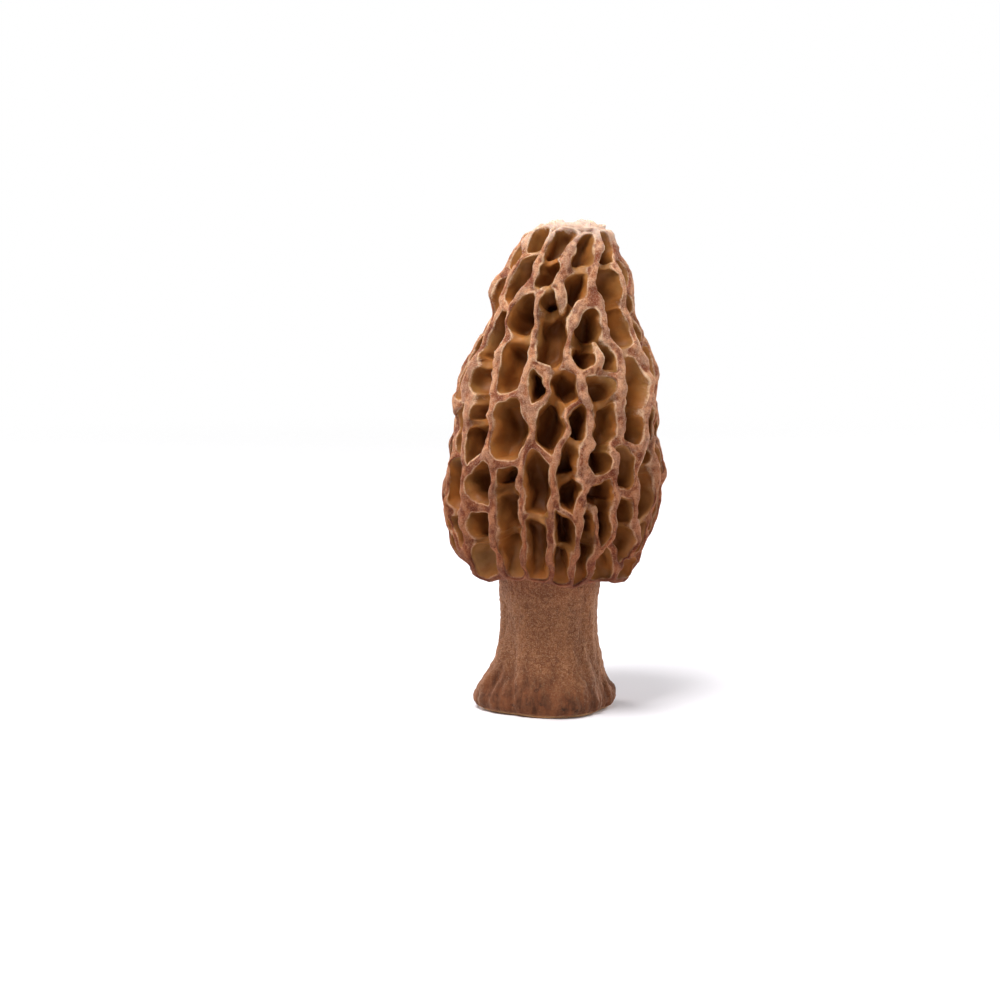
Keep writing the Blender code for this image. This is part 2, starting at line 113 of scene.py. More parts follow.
def skin_of(node, name):
    """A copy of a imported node, merged, with its triangles joined in pairs."""
    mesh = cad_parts[node].data.copy()
    mesh.materials.clear()
    piece = bpy.data.objects.new(name, mesh)
    bpy.context.scene.collection.objects.link(piece)
    work_on(piece)
    bpy.ops.object.mode_set(mode="EDIT")
    bpy.ops.mesh.select_all(action="SELECT")
    bpy.ops.mesh.remove_doubles(threshold=WELD)
    bpy.ops.mesh.tris_convert_to_quads(face_threshold=math.pi, shape_threshold=math.pi)
    bpy.ops.object.mode_set(mode="OBJECT")
    bpy.ops.mesh.customdata_custom_splitnormals_clear()
    print(name, "has", len(mesh.polygons), "faces on", len(mesh.vertices), "points")
    return piece


cap = skin_of("cap", "honeycomb_cap")
stem = skin_of("stem", "mealy_stem")

# %% [markdown]
# ## Two skins on each piece
#
# Outside, the flesh is ribbed or mealy. Inside, it is a smooth cream wall. The wall is found the
# way a hand would do it: start from the face that a ray from inside the hollow hits first, and
# take all faces that go on from it without a sharp corner. Each piece gets two material slots,
# which stay empty until the materials are made.

# %% Mark the faces of the hollow
OUTER_SKIN, LINING = 0, 1
CORNER = math.radians(48)
HOLLOW_MIDDLE = -0.9 * MM
TILT = 0.03


def mark_lining(piece, start, direction):
    """Gives the smooth wall that a ray from start hits the second material slot."""
    first = piece.ray_cast(start, direction)[3]
    work_on(piece)
    bpy.ops.object.mode_set(mode="EDIT")
    pick_faces(piece, lambda face: face.index == first)
    bpy.ops.mesh.faces_select_linked_flat(sharpness=CORNER)
    skin = bmesh.from_edit_mesh(piece.data)
    wall = [face for face in skin.faces if face.select]
    for face in wall:
        face.material_index = LINING
    bmesh.update_edit_mesh(piece.data)
    bpy.ops.object.mode_set(mode="OBJECT")
    print(piece.name, "has", len(wall), "faces of lining")


for piece in (cap, stem):
    piece.data.materials.append(None)
    piece.data.materials.append(None)
hollow_foot = Vector((HOLLOW_MIDDLE, 0, 0))
nearly_up = Vector((TILT, 0, 1)).normalized()
mark_lining(cap, hollow_foot + Vector((0, 0, cap_low.z)), nearly_up)
mark_lining(stem, hollow_foot + Vector((0, 0, stem_high.z / 2)), Vector((1, 0, 0)))

# %% [markdown]
# ## The cut
#
# A knife took the morel off its root, so the foot ends in a flat ring with a fairly sharp edge.
# Subdivision would roll that edge and lift the ring off the table. A narrow inset on the ring
# holds it: the rounding then stays within the width of the inset.

# %% Inset the cut ring
CUT_EDGE = 0.45 * MM
FLAT = 0.02 * MM
FACING_DOWN = -0.9


def on_the_cut(face):
    """True for the faces of the flat ring that the morel stands on."""
    return face.calc_center_median().z < FLAT and face.normal.z < FACING_DOWN


work_on(stem)
bpy.ops.object.mode_set(mode="EDIT")
found = pick_faces(stem, on_the_cut)
bpy.ops.mesh.inset(thickness=CUT_EDGE, use_even_offset=True)
bpy.ops.object.mode_set(mode="OBJECT")
print("the cut ring has", found, "faces")

# %% [markdown]
# ## From facets to flesh
#
# Two rounds of subdivision turn each facet into sixteen smaller faces on a smooth surface. The
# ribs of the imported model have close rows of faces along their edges, so the crests stay crisp
# while the walls of the pits turn into smooth bowls. The stem has fewer facets and takes one more
# round. The modifiers are applied, because the grain that follows needs the small faces.

# %% Round the facets
CAP_ROUNDS, STEM_ROUNDS = 2, 3


def apply_last(piece):
    """Applies the modifier that was added last."""
    work_on(piece)
    bpy.ops.object.modifier_apply(modifier=piece.modifiers[-1].name)


def subdivide(piece, rounds):
    """Makes the faces of a piece smaller and its surface smooth."""
    work_on(piece)
    bpy.ops.object.shade_smooth()
    bpy.ops.object.modifier_add(type="SUBSURF")
    piece.modifiers[-1].levels = rounds
    piece.modifiers[-1].render_levels = rounds
    apply_last(piece)
    print(piece.name, "has", sum(len(p.vertices) - 2 for p in piece.data.polygons), "triangles")


subdivide(cap, CAP_ROUNDS)
subdivide(stem, STEM_ROUNDS)

# %% [markdown]
# ## Measure the form
#
# Colour on a morel follows its form: crests are tan and mealy and walls are amber, and the depths
# are painted nearly black, as shade. It could be painted by hand, but then no grain would fit it.
# So the form is measured once, point by point, and both the grain and the materials use these
# measures.
#
# - Openness is the share of the sky that a point sees, found with rays of a few millimetres.
# - Thickness is how much flesh there is below a point. It tells the thin walls from the rest.
# - Relief says how far a point stands above the level of its wide surroundings, in millimetres.
#   It tells the crests of the net from the low sills that cross the pits.
# - Bulge is the same for its close surroundings. It is high along the edges of the crests.

# %% Read points, normals and edges as arrays
def points_of(mesh):
    """The places of all points, in metres."""
    flat = np.empty(len(mesh.vertices) * 3, np.float32)
    mesh.vertices.foreach_get("co", flat)
    return flat.reshape(-1, 3).astype(float)


def normals_of(mesh):
    """The normals of all points."""
    flat = np.empty(len(mesh.vertices) * 3, np.float32)
    mesh.vertex_normals.foreach_get("vector", flat)
    return flat.reshape(-1, 3).astype(float)


def neighbour_mean(mesh, values, rounds):
    """Each round replaces every point's values by the mean of its neighbours' values."""
    pairs = np.empty(len(mesh.edges) * 2, np.int32)
    mesh.edges.foreach_get("vertices", pairs)
    first, second = pairs.reshape(-1, 2).T
    count = np.bincount(pairs, minlength=len(values)).astype(float)
    for _ in range(rounds):
        total = np.stack(
            [
                np.bincount(first, row[second], len(values))
                + np.bincount(second, row[first], len(values))
                for row in values.T
            ],
            axis=1,
        )
        values = total / count[:, None]
    return values


def tell(name, values):
    """Prints how a measure is spread over the points."""
    low, middle, high = np.percentile(values, (5, 50, 95))
    print(f"{name}: {low:.2f} at 5%, {middle:.2f} at 50%, {high:.2f} at 95%")


def keep(mesh, name, values):
    """Stores one number for each point as an attribute that a material can read."""
    attribute = mesh.attributes.new(name, "FLOAT", "POINT")
    attribute.data.foreach_set("value", values.astype(np.float32))
    tell(name, values)


# %% Openness, by rays from each point
RAYS = 26
RAY_REACH = 14 * MM
LIFT = 0.05 * MM
SOFTEN_ROUNDS = 2
GOLDEN_ANGLE = math.pi * (3 - math.sqrt(5))


def sky_directions():
    """Directions spread over half a ball about +Z, more of them near its top."""
    found = []
    for step in range(RAYS):
        rise = math.sqrt((step + 0.5) / RAYS)
        turn = GOLDEN_ANGLE * step
        level = math.sqrt(1 - rise * rise)
        found.append(Vector((level * math.cos(turn), level * math.sin(turn), rise)))
    return found


def search_tree(piece):
    """The faces of a piece, sorted so that a ray finds the one that it meets quickly."""
    return BVHTree.FromPolygons(
        [v.co for v in piece.data.vertices], [tuple(p.vertices) for p in piece.data.polygons]
    )


def openness(piece):
    """For each point, the share of rays that leave without meeting the piece again."""
    tree = search_tree(piece)
    directions = sky_directions()
    free = np.zeros(len(piece.data.vertices))
    for vertex in piece.data.vertices:
        turn = vertex.normal.to_track_quat("Z", "Y").to_matrix()
        start = vertex.co + vertex.normal * LIFT
        hits = 0
        for direction in directions:
            if tree.ray_cast(start, turn @ direction, RAY_REACH)[0] is not None:
                hits += 1
        free[vertex.index] = 1 - hits / RAYS
    return neighbour_mean(piece.data, free[:, None], SOFTEN_ROUNDS)[:, 0]


cap_openness = openness(cap)
keep(cap.data, "openness", cap_openness)


# %% Thickness, by one ray inwards
def thickness(piece):
    """For each point, how thick the flesh is below it, in metres."""
    tree = search_tree(piece)
    depth = np.full(len(piece.data.vertices), RAY_REACH)
    for vertex in piece.data.vertices:
        start = vertex.co - vertex.normal * LIFT
        distance = tree.ray_cast(start, -vertex.normal, RAY_REACH)[3]
        if distance is not None:
            depth[vertex.index] = distance
    return neighbour_mean(piece.data, depth[:, None], SOFTEN_ROUNDS)[:, 0]


cap_thickness = thickness(cap)
tell("thickness in mm", cap_thickness / MM)

# %% Bulge and relief, against smoothed copies
BULGE_ROUNDS = 6
BULGE_UNIT = 0.06 * MM
RELIEF_ROUNDS = 120


def bulge(piece):
    """For each point, how far it stands out of its close surroundings, from about -1 to 1."""
    places = points_of(piece.data)
    smooth = neighbour_mean(piece.data, places, BULGE_ROUNDS)
    height = ((places - smooth) * normals_of(piece.data)).sum(axis=1)
    return np.tanh(height / BULGE_UNIT)


def relief(piece):
    """For each point, how far it stands above the level of its wide surroundings, in mm."""
    places = points_of(piece.data)
    level = neighbour_mean(piece.data, places, RELIEF_ROUNDS)
    outward = neighbour_mean(piece.data, normals_of(piece.data), RELIEF_ROUNDS // 2)
    outward /= np.linalg.norm(outward, axis=1)[:, None]
    return ((places - level) * outward).sum(axis=1) / MM


cap_relief = relief(cap)
tell("relief in mm", cap_relief)

# %% [markdown]
# ## Flesh on the net
#
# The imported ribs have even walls. Real ones wander and lean, and their crests swell and narrow
# again. A hand could sculpt that, but not twice alike. Displace modifiers do it step by step and
# give the same result each time:
#
# - two moves sway the whole net and fold its walls,
# - two draw the walls back under the crests and crease them,
# - one swells the shoulders of the crests here and there,
# - one dimples the tip,
# - one raises the grain on the crests.
#
# Each works through a vertex group, a painted share between 0 and 1 for every point. All are
# applied.
#
# A wall has two sides, and pushes along the normals would drive them through each other where the
# wall is thin. So the two large moves take their direction from the three colours of the texture,
# and both sides of a wall go the same way. The group for the small pushes leaves thin walls out.

# %% Helpers that turn measures into vertex groups
GROUP_STEPS = 50


def smooth_step(values, low, high):
    """0 below low, 1 above high and a soft S between them. With low above high it falls."""
    share = np.clip((values - low) / (high - low), 0, 1)
    return share * share * (3 - 2 * share)


def make_group(piece, name, shares):
    """Stores one share for each point in a vertex group that a modifier can use."""
    group = piece.vertex_groups.new(name=name)
    steps = np.round(shares * GROUP_STEPS).astype(int)
    for step in range(1, GROUP_STEPS + 1):
        chosen = np.nonzero(steps == step)[0]
        if len(chosen):
            group.add(chosen.tolist(), step / GROUP_STEPS, "REPLACE")
    print(f"{piece.name}: group {name} holds {shares.mean():.0%} on average")


def lining_points(piece):
    """1 for each point of the smooth inner wall and 0 for the others."""
    inside = np.zeros(len(piece.data.vertices))
    for face in piece.data.polygons:
        if face.material_index == LINING:
            inside[list(face.vertices)] = 1
    return inside


# %% Crests, tip and walls of the cap
CREST_OPENNESS = (0.46, 0.86)
CREST_RELIEF = (0.2, 0.95)
TIP_DEPTH, TIP_CORE = 3.2 * MM, 1.6 * MM
TIP_OPENNESS = (0.85, 1.0)
THIN_WALL = (0.7 * MM, 1.5 * MM)

cap_outside = 1 - lining_points(cap)
cap_height = points_of(cap.data)[:, 2]
cap_tip = smooth_step(cap_height, cap_high.z - TIP_DEPTH, cap_high.z - TIP_CORE)
cap_crest = smooth_step(cap_openness, *CREST_OPENNESS) * smooth_step(cap_relief, *CREST_RELIEF)
cap_crest = np.maximum(cap_crest, cap_tip) * cap_outside
cap_wall = (1 - cap_crest) * cap_outside * smooth_step(cap_thickness, *THIN_WALL)
cap_dimpled = cap_tip * smooth_step(cap_openness, *TIP_OPENNESS) * cap_outside

make_group(cap, "outside", cap_outside)
make_group(cap, "crests", cap_crest)
make_group(cap, "shoulders", 4 * cap_crest * (1 - cap_crest))
make_group(cap, "walls", cap_wall)
make_group(cap, "tip", cap_dimpled)

# %% Crest and flank, for the colours
# Crest is 1 on the crests and ends at their edges. Flank fades on down the walls instead.
FLANK_ROUNDS = 12
FLANK_SHARE = 0.8

cap_flank = neighbour_mean(cap.data, cap_crest[:, None], FLANK_ROUNDS)[:, 0]
cap_flank = np.maximum(cap_crest, np.clip(FLANK_SHARE * cap_flank, 0, 1)) * cap_outside
keep(cap.data, "crest", cap_crest)
keep(cap.data, "flank", cap_flank)


# %% Displace through a texture
def displace(piece, strength, group, texture=None, direction="NORMAL", middle=0.5):
    """Moves the points of a group by strength times (texture - middle), and applies that."""
    work_on(piece)
    bpy.ops.object.modifier_add(type="DISPLACE")
    push = piece.modifiers[-1]
    push.strength = strength
    push.mid_level = middle
    push.direction = direction
    push.texture_coords = "LOCAL"
    push.vertex_group = group
    if texture is not None:
        push.texture = texture
    apply_last(piece)


def clouds(name, size, depth=0, coloured=False):
    """A cloud texture whose lumps are about size wide."""
    texture = bpy.data.textures.new(name, "CLOUDS")
    texture.noise_scale = size
    texture.noise_depth = depth
    texture.cloud_type = "COLOR" if coloured else "GRAYSCALE"
    return texture


# %% Sway, folds, creases, shoulders, dimples and grain of the cap
SWAY, SWAY_SIZE = 1.6 * MM, 5.2 * MM
FOLD, FOLD_SIZE = 0.75 * MM, 2.4 * MM
LIP = 0.1 * MM
CREASE, CREASE_SIZE = 0.4 * MM, 1.1 * MM
CREASE_MIDDLE = 0.2
SHOULDER, SHOULDER_SIZE = 1.3 * MM, 4.2 * MM
SHOULDER_MIDDLE = 0.42
DIMPLE, DIMPLE_SIZE = 2.2 * MM, 2.4 * MM
DIMPLE_MIDDLE = 0.8
GRAIN, GRAIN_SIZE = 0.34 * MM, 0.6 * MM

displace(cap, SWAY, "outside", clouds("sway", SWAY_SIZE, coloured=True), "RGB_TO_XYZ")
displace(cap, FOLD, "outside", clouds("folds", FOLD_SIZE, coloured=True), "RGB_TO_XYZ")
displace(cap, -LIP, "walls", middle=0)
displace(cap, CREASE, "walls", clouds("creases", CREASE_SIZE, depth=1), middle=CREASE_MIDDLE)
displace(cap, SHOULDER, "shoulders", clouds("shoulders", SHOULDER_SIZE), middle=SHOULDER_MIDDLE)
displace(cap, DIMPLE, "tip", clouds("tip dimples", DIMPLE_SIZE, depth=2), middle=DIMPLE_MIDDLE)
displace(cap, GRAIN, "crests", clouds("cap grain", GRAIN_SIZE, depth=1))
keep(cap.data, "bulge", bulge(cap))

# %% [markdown]
# ## Flesh on the stem
#
# The stem grew as a bundle of threads, so its folds run up and down. A texture on an empty that is
# stretched along Z draws them out. They are faint on the shaft and deep round the foot, where the
# flesh has dried. Soft lumps and a fine grain make the edge of the stem rough against the light.
# The cut ring is left out, so that the morel still stands flat.

# %% Displace through a drawn-out texture
def stretched(piece, strength, group, texture, stretch):
    """Displaces with a texture drawn out along Z, by way of an empty that is then removed."""
    bpy.ops.object.empty_add(location=(0, 0, 0))
    guide = bpy.context.object
    guide.scale.z = stretch
    bpy.context.view_layer.update()
    work_on(piece)
    bpy.ops.object.modifier_add(type="DISPLACE")
    push = piece.modifiers[-1]
    push.strength = strength
    push.texture = texture
    push.texture_coords = "OBJECT"
    push.texture_coords_object = guide
    push.vertex_group = group
    apply_last(piece)
    bpy.data.objects.remove(guide)


# %% Folds, creases, lumps and grain of the stem
FOOT_TOP, FOOT_FULL = 17 * MM, 4 * MM
CUT_ROUNDING = (0.15 * MM, 1.3 * MM)
STEM_FOLD, STEM_FOLD_SIZE, STEM_FOLD_STRETCH = 0.8 * MM, 4.0 * MM, 6.0
FOOT_CREASE, FOOT_CREASE_SIZE, FOOT_CREASE_STRETCH = 1.6 * MM, 2.6 * MM, 4.0
LUMP, LUMP_SIZE = 0.5 * MM, 2.0 * MM
STEM_GRAIN, STEM_GRAIN_SIZE = 0.26 * MM, 0.55 * MM

stem_height = points_of(stem.data)[:, 2]
stem_outside = (1 - lining_points(stem)) * smooth_step(stem_height, *CUT_ROUNDING)
make_group(stem, "outside", stem_outside)
make_group(stem, "foot", stem_outside * smooth_step(stem_height, FOOT_TOP, FOOT_FULL))

folds = clouds("stem folds", STEM_FOLD_SIZE, depth=1)
creases = clouds("foot creases", FOOT_CREASE_SIZE, depth=1)
stretched(stem, STEM_FOLD, "outside", folds, STEM_FOLD_STRETCH)
stretched(stem, FOOT_CREASE, "foot", creases, FOOT_CREASE_STRETCH)
displace(stem, LUMP, "outside", clouds("stem lumps", LUMP_SIZE, depth=2))
displace(stem, STEM_GRAIN, "outside", clouds("stem grain", STEM_GRAIN_SIZE, depth=1))
keep(stem.data, "bulge", bulge(stem))

# %% [markdown]
# ## Colours and grain that both skins share
#
# Two effects show on cap and stem alike. The meal is a dust of fine, pale grains. The fleck is a
# scatter of small dark stains where the flesh has dried. Each is one node group with its own
# inputs, so that every material can set how large and how strong it is.
#
# Node trees are long when they are written out link by link. A few small helpers place, feed and
# join the nodes, so that a material reads like a recipe.

# %% Helpers that place and feed shader nodes
def place(tree, kind, **settings):
    """Adds a node and sets its properties."""
    made = tree.nodes.new(kind)
    for name, value in settings.items():
        setattr(made, name, value)
    return made


def feed(tree, socket, value):
    """Links an output into a socket, or sets the socket to a number or a colour."""
    if isinstance(value, bpy.types.NodeSocket):
        tree.links.new(value, socket)
    else:
        socket.default_value = value


def reckon(tree, how, first, second):
    """One step of arithmetic on two values."""
    made = place(tree, "ShaderNodeMath", operation=how)
    feed(tree, made.inputs[0], first)
    feed(tree, made.inputs[1], second)
    return made.outputs[0]


def times(tree, first, second):
    """The product of two values."""
    return reckon(tree, "MULTIPLY", first, second)


def plus(tree, first, second):
    """The sum of two values."""
    return reckon(tree, "ADD", first, second)


# %% Helpers for noise and soft limits
def noise(tree, where, size, detail=2.0, roughness=0.5):
    """Cloudy noise from 0 to 1, with lumps about size wide.

    Detail is the number of finer layers, and roughness is how much each of them counts.
    """
    made = place(tree, "ShaderNodeTexNoise")
    feed(tree, made.inputs["Vector"], where)
    made.inputs["Scale"].default_value = 1 / size
    made.inputs["Detail"].default_value = detail
    made.inputs["Roughness"].default_value = roughness
    return made.outputs["Fac"]


def grade(tree, value, low, high, to_low=0.0, to_high=1.0):
    """Maps value from low..high to to_low..to_high, softly at both ends. It may also fall."""
    made = place(tree, "ShaderNodeMapRange", interpolation_type="SMOOTHSTEP")
    feed(tree, made.inputs["Value"], value)
    feed(tree, made.inputs["From Min"], low)
    feed(tree, made.inputs["From Max"], high)
    feed(tree, made.inputs["To Min"], to_low)
    feed(tree, made.inputs["To Max"], to_high)
    return made.outputs["Result"]


def mixed(tree, first, first_share, second, second_share):
    """The sum of two values, each with its own share."""
    return plus(tree, times(tree, first, first_share), times(tree, second, second_share))


# %% Helpers for colour
# A Mix node has sockets for every kind of value, so those for colour are picked by number.
COLOUR_A, COLOUR_B, COLOUR_RESULT = 6, 7, 2


def rgb(red, green, blue):
    """A colour as a picture editor shows it, from 0 to 255, as the linear light of a shader."""
    linear = []
    for part in (red / 255, green / 255, blue / 255):
        linear.append(part / 12.92 if part <= 0.04045 else ((part + 0.055) / 1.055) ** 2.4)
    return (*linear, 1.0)


def blend(tree, share, first, second, how="MIX"):
    """Mixes two colours: share 0 shows the first and 1 the second."""
    made = place(tree, "ShaderNodeMix", data_type="RGBA", blend_type=how)
    feed(tree, made.inputs["Factor"], share)
    feed(tree, made.inputs[COLOUR_A], first)
    feed(tree, made.inputs[COLOUR_B], second)
    return made.outputs[COLOUR_RESULT]


def paint(tree, ground, *coats):
    """Lays coats over a ground colour in turn. A coat is a mask, its strength and its colour."""
    colour = ground
    for mask, strength, tone in coats:
        colour = blend(tree, times(tree, mask, strength), colour, tone)
    return colour


def colour_ramp(tree, value, stops):
    """Turns a value from 0 to 1 into a colour, by way of the stops."""
    ramp = place(tree, "ShaderNodeValToRGB")
    feed(tree, ramp.inputs["Fac"], value)
    while len(ramp.color_ramp.elements) < len(stops):
        ramp.color_ramp.elements.new(0.5)
    for element, (at, colour) in zip(ramp.color_ramp.elements, stops):
        element.position = at
        element.color = colour
    return ramp.outputs["Color"]


# %% Node group: meal
GRAIN_PICK = (0.2, 1.0)
GRAIN_WIDTHS = (0.12, 0.62)
MEAL_PATCH, MEAL_DUST = 1.4 * MM, 0.16 * MM


def new_group(name, inputs, outputs):
    """An empty node group with named sockets, its input node and its output node."""
    tree = bpy.data.node_groups.new(name, "ShaderNodeTree")
    for title, kind in inputs:
        tree.interface.new_socket(title, in_out="INPUT", socket_type=kind)
    for title, kind in outputs:
        tree.interface.new_socket(title, in_out="OUTPUT", socket_type=kind)
    return tree, place(tree, "NodeGroupInput"), place(tree, "NodeGroupOutput")


def make_meal():
    """Fine grains: a height to feed a bump, and a mask that is 1 on the palest grains."""
    tree, source, result = new_group(
        "meal",
        [("Where", "NodeSocketVector"), ("Grains per metre", "NodeSocketFloat")],
        [("Height", "NodeSocketFloat"), ("Grains", "NodeSocketFloat")],
    )
    where = source.outputs["Where"]
    cells = place(tree, "ShaderNodeTexVoronoi", feature="F1")
    feed(tree, cells.inputs["Vector"], where)
    feed(tree, cells.inputs["Scale"], source.outputs["Grains per metre"])
    chance = place(tree, "ShaderNodeSeparateColor")
    feed(tree, chance.inputs["Color"], cells.outputs["Color"])
    radius = grade(tree, chance.outputs["Red"], *GRAIN_PICK, *GRAIN_WIDTHS)
    lump = grade(tree, cells.outputs["Distance"], radius, times(tree, radius, 0.25))
    strong = grade(tree, noise(tree, where, MEAL_PATCH, 3.0, 0.6), 0.40, 0.58)
    dust = noise(tree, where, MEAL_DUST, 2.0, 0.6)
    grown = times(tree, lump, plus(tree, times(tree, strong, 0.7), 0.3))
    feed(tree, result.inputs["Height"], mixed(tree, grown, 0.6, dust, 0.4))
    feed(tree, result.inputs["Grains"], times(tree, grown, grade(tree, dust, 0.38, 0.56)))
    return tree


MEAL = make_meal()
print("the meal group has", len(MEAL.nodes), "nodes")

# %% Node group: fleck
FLECK_LIMIT, FLECK_SPAN, FLECK_EDGE = 0.75, 0.3, 0.13


def make_fleck():
    """Dark stains: a mask that is 1 in the middle of each. A wider spread makes them larger."""
    tree, source, result = new_group(
        "fleck",
        [
            ("Where", "NodeSocketVector"),
            ("Flecks per metre", "NodeSocketFloat"),
            ("Spread", "NodeSocketFloat"),
        ],
        [("Flecks", "NodeSocketFloat")],
    )
    made = place(tree, "ShaderNodeTexNoise")
    feed(tree, made.inputs["Vector"], source.outputs["Where"])
    feed(tree, made.inputs["Scale"], source.outputs["Flecks per metre"])
    made.inputs["Detail"].default_value = 4.0
    made.inputs["Roughness"].default_value = 0.62
    lowered = times(tree, source.outputs["Spread"], FLECK_SPAN)
    limit = reckon(tree, "SUBTRACT", FLECK_LIMIT, lowered)
    mask = grade(tree, made.outputs["Fac"], limit, plus(tree, limit, FLECK_EDGE))
    feed(tree, result.inputs["Flecks"], mask)
    return tree


FLECK = make_fleck()
print("the fleck group has", len(FLECK.nodes), "nodes")


# %% Helpers that use the groups and start a material
def use_group(tree, group, **values):
    """Places a node group and feeds its inputs by name, with _ for each space."""
    made = place(tree, "ShaderNodeGroup", node_tree=group)
    for name, value in values.items():
        feed(tree, made.inputs[name.replace("_", " ")], value)
    return made


def flecks(tree, where, per_metre, spread):
    """The mask of the fleck group, at this count and spread."""
    made = use_group(tree, FLECK, Where=where, Flecks_per_metre=per_metre, Spread=spread)
    return made.outputs["Flecks"]


def new_material(name):
    """A material with an empty Principled shader, its node tree and the object's coordinates."""
    made = bpy.data.materials.new(name)
    made.use_nodes = True
    tree = made.node_tree
    where = place(tree, "ShaderNodeTexCoord").outputs["Object"]
    return made, tree, tree.nodes["Principled BSDF"], where


def measure(tree, name):
    """The attribute of that name, as a value."""
    return place(tree, "ShaderNodeAttribute", attribute_name=name).outputs["Fac"]


def height_of(tree, where):
    """The height above the table, in metres."""
    parts = place(tree, "ShaderNodeSeparateXYZ")
    feed(tree, parts.inputs[0], where)
    return parts.outputs["Z"]


# %% Helpers for the surface of flesh
GLOW_RADIUS = (1.0, 0.5, 0.25)
GLOW_DEPTH = 1.5 * MM


def let_light_in(shader, share):
    """Lets a share of the light run through the flesh, red the furthest."""
    shader.inputs["Subsurface Weight"].default_value = share
    shader.inputs["Subsurface Radius"].default_value = GLOW_RADIUS
    shader.inputs["Subsurface Scale"].default_value = GLOW_DEPTH


def roughen(tree, shader, height, strength, distance):
    """Turns a height from 0 to 1 into fine relief of that distance."""
    bump = place(tree, "ShaderNodeBump")
    bump.inputs["Strength"].default_value = strength
    bump.inputs["Distance"].default_value = distance
    feed(tree, bump.inputs["Height"], height)
    feed(tree, shader.inputs["Normal"], bump.outputs["Normal"])


# %% [markdown]
# ## The skin of the cap
#
# In the pits the flesh is moist, amber and a little see-through. Where no light gets in it is
# painted nearly black, as shade. On the crests it has dried to a reddish tan, with a pale frost
# along the margins. An image could be painted on, but it has seams and a fixed sharpness. Here the
# colours follow the measures: openness picks the tone of a pit and paints its shade, flank says how
# far the tan reaches down its walls, and crest and bulge place the frost with a painted highlight.
# Bulge also paints shade into the grooves, and height paints shade towards the rim. Noise makes
# every border uneven.

# %% Crests of the cap
CREST_MOTTLE, CREST_PATCH = 1.9 * MM, 6 * MM
CREST_RED, CREST_TAN = rgb(126, 68, 44), rgb(190, 131, 93)
MARGIN_FROST_AND_HIGHLIGHT, GROOVE_SHADE = rgb(230, 194, 160), rgb(120, 62, 40)
STAIN_BROWN, SPECK_BROWN = rgb(110, 58, 40), rgb(76, 38, 28)
GRAIN_DARK, GRAIN_PALE = rgb(116, 62, 42), rgb(232, 196, 164)
FROST = rgb(246, 222, 198)


def crest_colour(tree, where, speckle, meal):
    """Reddish in the middle of a crest and frosted along its margins, with a painted highlight on
    the margins and raised points, painted shade in the grooves, mottles and specks.
    """
    patch = noise(tree, where, CREST_PATCH, 3.0, 0.6)
    mottle = noise(tree, where, CREST_MOTTLE, 5.0, 0.68)
    mottles = grade(tree, mixed(tree, mottle, 0.6, patch, 0.5), 0.47, 0.63)
    raised = grade(tree, measure(tree, "bulge"), 0.3, 1.0)
    groove = grade(tree, measure(tree, "bulge"), 0.1, -0.6)
    on_crest = measure(tree, "crest")
    margin = times(tree, grade(tree, on_crest, 0.95, 0.65), grade(tree, on_crest, 0.1, 0.4))
    dusted = plus(tree, times(tree, margin, 0.5), 0.3)
    return paint(
        tree,
        blend(tree, mottles, CREST_RED, CREST_TAN),
        # Pale frost along the margins, with a painted highlight there and on raised points.
        (plus(tree, margin, times(tree, raised, 0.3)), 0.8, MARGIN_FROST_AND_HIGHLIGHT),
        # Painted shade in the grooves.
        (groove, 0.5, GROOVE_SHADE),
        (flecks(tree, where, per_metre=560.0, spread=0.72), 0.7, STAIN_BROWN),
        (flecks(tree, where, per_metre=1700.0, spread=0.5), 0.6, SPECK_BROWN),
        (grade(tree, speckle, 0.52, 0.34), 0.4, GRAIN_DARK),
        (grade(tree, speckle, 0.5, 0.72), 0.4, GRAIN_PALE),
        (meal.outputs["Grains"], dusted, FROST),
    )


# %% Pits of the cap
# Tones by openness: the dark stops are painted shade in the depths.
PIT_TONES_AND_SHADE = (
    (0.06, rgb(76, 36, 14)),
    (0.20, rgb(112, 64, 28)),
    (0.38, rgb(126, 78, 36)),
    (0.62, rgb(150, 101, 54)),
    (0.88, rgb(172, 124, 78)),
)
PIT_PATCH, PIT_MOTTLE = 7 * MM, 2.4 * MM
AMBER, OLIVE = rgb(168, 98, 38), rgb(134, 102, 54)


def pit_colour_and_shade(tree, where, low):
    """Amber brown with painted shade: nearly black in the depths and a little darker low on the
    cap, and olive tan where the light gets in.
    """
    broad = noise(tree, where, PIT_PATCH, 3.0, 0.55)
    # A little darker low on the cap: painted shade.
    opened = plus(tree, measure(tree, "openness"), times(tree, low, -0.05))
    wander = times(tree, plus(tree, noise(tree, where, PIT_MOTTLE, 3.0), -0.5), 0.30)
    amber = times(tree, grade(tree, broad, 0.44, 0.64), grade(tree, opened, 0.12, 0.45))
    # Olive patches at random, strongest where more sky is open, which is painted light.
    olive = times(tree, grade(tree, broad, 0.46, 0.30), grade(tree, opened, 0.2, 0.6))
    tone = colour_ramp(tree, plus(tree, opened, wander), PIT_TONES_AND_SHADE)
    return paint(tree, tone, (amber, 0.45, AMBER), (olive, 0.4, OLIVE))


# %% Border between crests and pits
REACH_PATCH, REACH_FRAY = 4.0 * MM, 0.7 * MM


def crest_share(tree, where, speckle):
    """1 on the tan crests and 0 in the amber pits, with a frayed border down the flanks."""
    reach = plus(
        tree, noise(tree, where, REACH_PATCH, 2.0), noise(tree, where, REACH_FRAY, 3.0, 0.6)
    )
    reach = plus(tree, reach, times(tree, speckle, 0.6))
    reach = times(tree, plus(tree, reach, -1.3), 0.75)
    return grade(tree, plus(tree, measure(tree, "flank"), reach), 0.2, 0.85)


